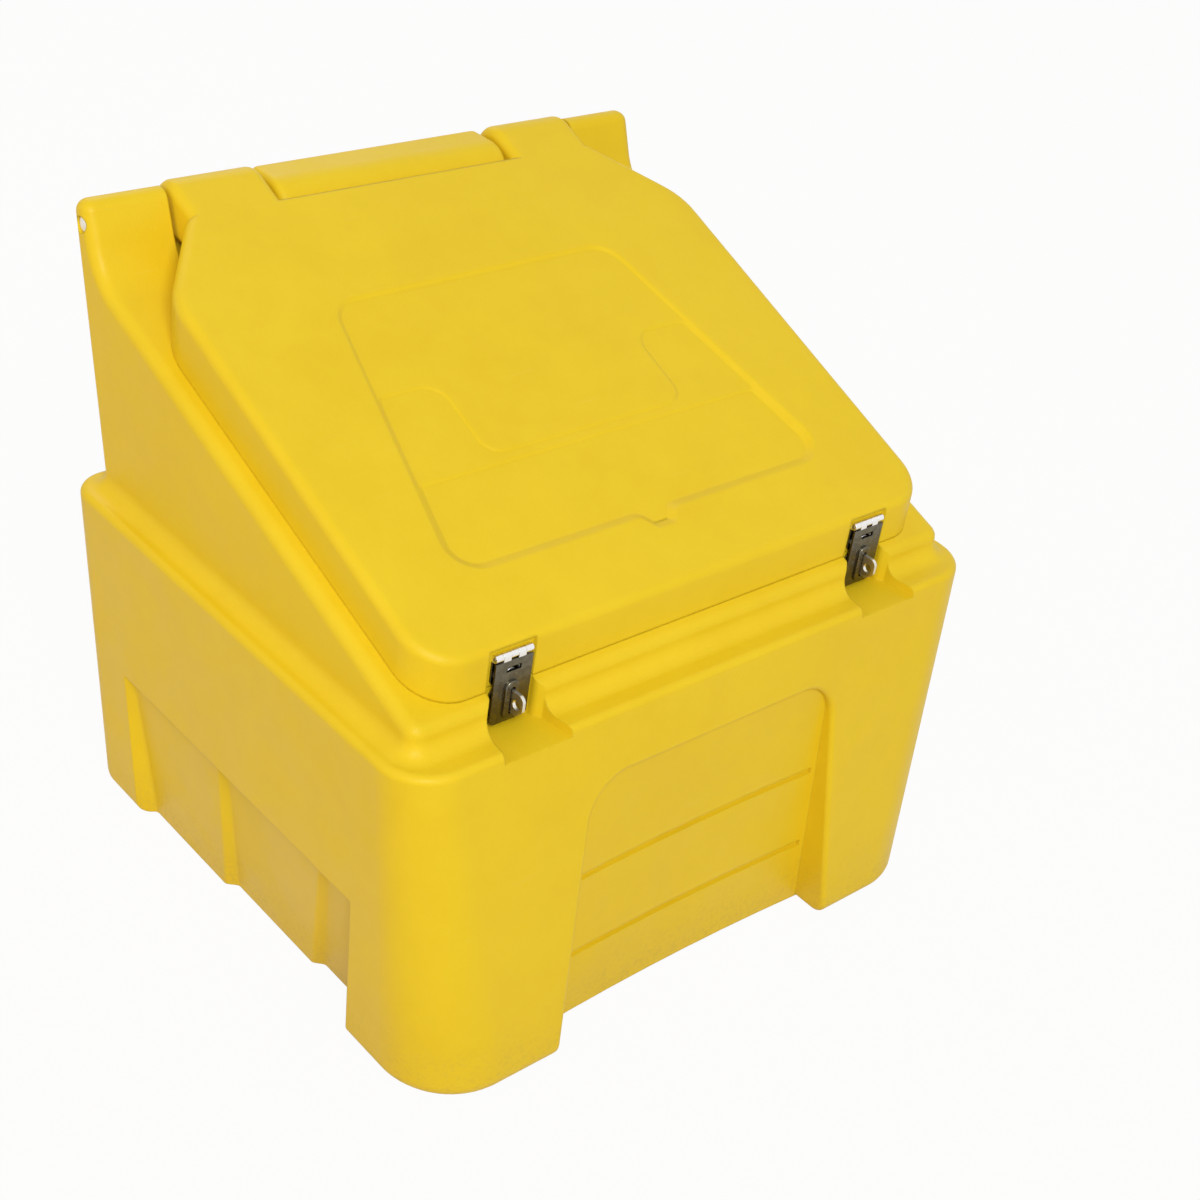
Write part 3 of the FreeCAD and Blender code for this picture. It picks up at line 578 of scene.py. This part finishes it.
def tray(name, corners, top, floor, slope=WALL_SLOPE, spare=0.0):
    """Closed block with slanted sides; at the lid's top its outline is the given one, grown by spare."""
    form = bmesh.new()
    rings = []
    for height in (floor, top):
        outline = rounded(corners, grow=height / slope + spare)
        rings.append([form.verts.new(on_slope(point.x, point.y, height)) for point in outline])
    low, high = rings
    form.faces.new(reversed(low))
    form.faces.new(high)
    for i in range(len(low)):
        j = (i + 1) % len(low)
        form.faces.new((low[i], low[j], high[j], high[i]))
    mesh = bpy.data.meshes.new(name)
    form.to_mesh(mesh)
    form.free()
    return show(name, mesh)


# The lid

def welded_copy(source, name):
    """New object with the source's faces, joined where they meet."""
    form = bmesh.new()
    form.from_mesh(source.data)
    bmesh.ops.remove_doubles(form, verts=form.verts, dist=0.000001)
    form.verts.ensure_lookup_table()
    points = [tuple(vert.co) for vert in form.verts]
    faces = [[vert.index for vert in face.verts] for face in form.faces]
    form.free()
    mesh = bpy.data.meshes.new(name)
    mesh.from_pydata(points, [], faces)
    return show(name, mesh)


def apply_modifiers(piece):
    """Put the result of a piece's modifiers into its mesh."""
    bpy.context.view_layer.update()
    graph = bpy.context.evaluated_depsgraph_get()
    mesh = bpy.data.meshes.new_from_object(piece.evaluated_get(graph))
    piece.modifiers.clear()
    piece.data = mesh


def shape_with(piece, operation, block):
    """Join a block to a piece or cut it away, and remove the block."""
    step = piece.modifiers.new(block.name, "BOOLEAN")
    step.operation = operation
    step.solver = "EXACT"
    step.object = block
    apply_modifiers(piece)
    bpy.data.objects.remove(block)


def smooth_faces(piece):
    """Smooth shading that leaves flat faces flat and keeps real edges."""
    piece.data.shade_smooth()
    piece.data.set_sharp_from_angle(angle=SHARP_FROM)
    weighting = piece.modifiers.new("flat_faces_stay_flat", "WEIGHTED_NORMAL")
    weighting.keep_sharp = True
    apply_modifiers(piece)


def moulded_lid():
    """The lid with its sunken panel in three levels, in place of the plainer lid of the frame."""
    lid = welded_copy(frame["nodes"]["lid_shell"], "lid_with_panel")
    backing_floor = -FOOT_DEPTH - LID_WALL
    shape_with(lid, "UNION", tray("backing", panel_with_rim(), -LID_WALL / 2, backing_floor, UPRIGHT))
    trim = tray("trim", whole_panel(), LID_WALL * 2, -TRIM_DEPTH, UPRIGHT, spare=WALL_GAP)
    shape_with(lid, "DIFFERENCE", trim)
    for name, outline, depth, gaps in (
        ("field", whole_panel(), FIELD_DEPTH, 3),
        ("pads", pads_and_step(), PAD_DEPTH, 1),
        ("foot", foot_of_panel(), FOOT_DEPTH, -1),
    ):
        level = tray(name, outline, FIELD_DEPTH / 2, -depth, spare=gaps * WALL_GAP)
        shape_with(lid, "DIFFERENCE", level)
    smooth_faces(lid)
    lid.data.materials.clear()
    lid.data.materials.append(FINISHES["lid_yellow"])
    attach(lid, "lid")
    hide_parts("lid_shell")


# Studio

def seen_directly(tree):
    """1 where the camera, a reflection or a see-through surface shows a backdrop, 0 for its light."""
    path = add(tree, "ShaderNodeLightPath")
    shown = combine(tree, "MAXIMUM", path.outputs["Is Camera Ray"], path.outputs["Is Glossy Ray"])
    return combine(tree, "MAXIMUM", shown, path.outputs["Is Transmission Ray"])


def floor_material():
    """Pale floor that looks nearly white but keeps a faint shadow."""
    material, tree, shader = new_material("pale_floor")
    shade = remap(tree, noise(tree, object_place(tree), scale=3.0, detail=3.0), low=0.3, high=0.7)
    feed(tree, shader.inputs["Base Color"], mix_colour(tree, shade, FLOOR_DULL, FLOOR_GREY))
    shader.inputs["Roughness"].default_value = 0.9
    glow = add(tree, "ShaderNodeEmission")
    blend = add(tree, "ShaderNodeMixShader")
    feed(tree, blend.inputs["Fac"], combine(tree, "MULTIPLY", seen_directly(tree), FLOOR_WHITENING))
    feed(tree, blend.inputs[1], shader.outputs["BSDF"])
    feed(tree, blend.inputs[2], glow.outputs["Emission"])
    feed(tree, tree.nodes["Material Output"].inputs["Surface"], blend.outputs["Shader"])
    return material


def make_floor():
    corners = [
        (-FLOOR_HALF, -FLOOR_HALF, 0.0),
        (FLOOR_HALF, -FLOOR_HALF, 0.0),
        (FLOOR_HALF, FLOOR_HALF, 0.0),
        (-FLOOR_HALF, FLOOR_HALF, 0.0),
    ]
    mesh = bpy.data.meshes.new("floor")
    mesh.from_pydata(corners, [], [(0, 1, 2, 3)])
    mesh.materials.append(floor_material())
    floor = show("floor", mesh)


def make_sky():
    """Even light from all round, with a brighter backdrop where it is seen directly."""
    world = bpy.data.worlds.new("studio")
    bpy.context.scene.world = world
    world.use_nodes = True
    tree = world.node_tree
    background = tree.nodes["Background"]
    direct = seen_directly(tree)
    strength = add(tree, "ShaderNodeMapRange")
    feed(tree, strength.inputs["To Min"], SKY_STRENGTH)
    feed(tree, strength.inputs["To Max"], BACKDROP_STRENGTH)
    feed(tree, strength.inputs["Value"], direct)
    feed(tree, background.inputs["Color"], mix_colour(tree, direct, SKY_LIGHT, BACKDROP_WHITE))
    feed(tree, background.inputs["Strength"], strength.outputs["Result"])


def aimed(place, aim):
    """Turn of a lamp or camera that looks from a place at a point."""
    return (Vector(aim) - Vector(place)).to_track_quat("-Z", "Y")


def soft_lamp(name, place, aim, size, watts, colour=PLAIN_LIGHT):
    """Round lamp; its size is its diameter in metres."""
    lamp = bpy.data.lights.new(name, "AREA")
    lamp.shape = "DISK"
    lamp.size = size
    lamp.energy = watts
    lamp.color = colour
    holder = show(name, lamp)
    holder.location = place
    holder.rotation_euler = aimed(place, aim).to_euler()


def make_lamps():
    """Large window light from the front left, a warm fill from the left and a weak light behind."""
    soft_lamp("window", place=(-2.2, -3.8, 3.6), aim=(0.0, 0.0, 0.35), size=2.0, watts=164.0)
    soft_lamp("fill", place=(-2.6, 0.4, 1.6), aim=(0.0, 0.0, 0.30), size=2.0, watts=10.0, colour=WARM_LIGHT)
    soft_lamp("behind", place=(0.6, 2.4, 2.2), aim=(0.0, 0.1, 0.40), size=1.6, watts=10.0)


def make_camera():
    data = bpy.data.cameras.new("camera")
    data.sensor_width = SENSOR_WIDTH
    data.lens = FOCAL_LENGTH
    camera = show("camera", data)
    look = aimed(CAMERA_AT, CAMERA_AIM).to_matrix().to_4x4()
    tilt = Matrix.Rotation(math.radians(CAMERA_ROLL), 4, "Z")
    camera.matrix_world = Matrix.Translation(CAMERA_AT) @ look @ tilt
    bpy.context.scene.camera = camera


finish_nodes()
moulded_lid()
make_floor()
make_sky()
make_lamps()
make_camera()
bpy.context.scene.view_settings.view_transform = "Standard"
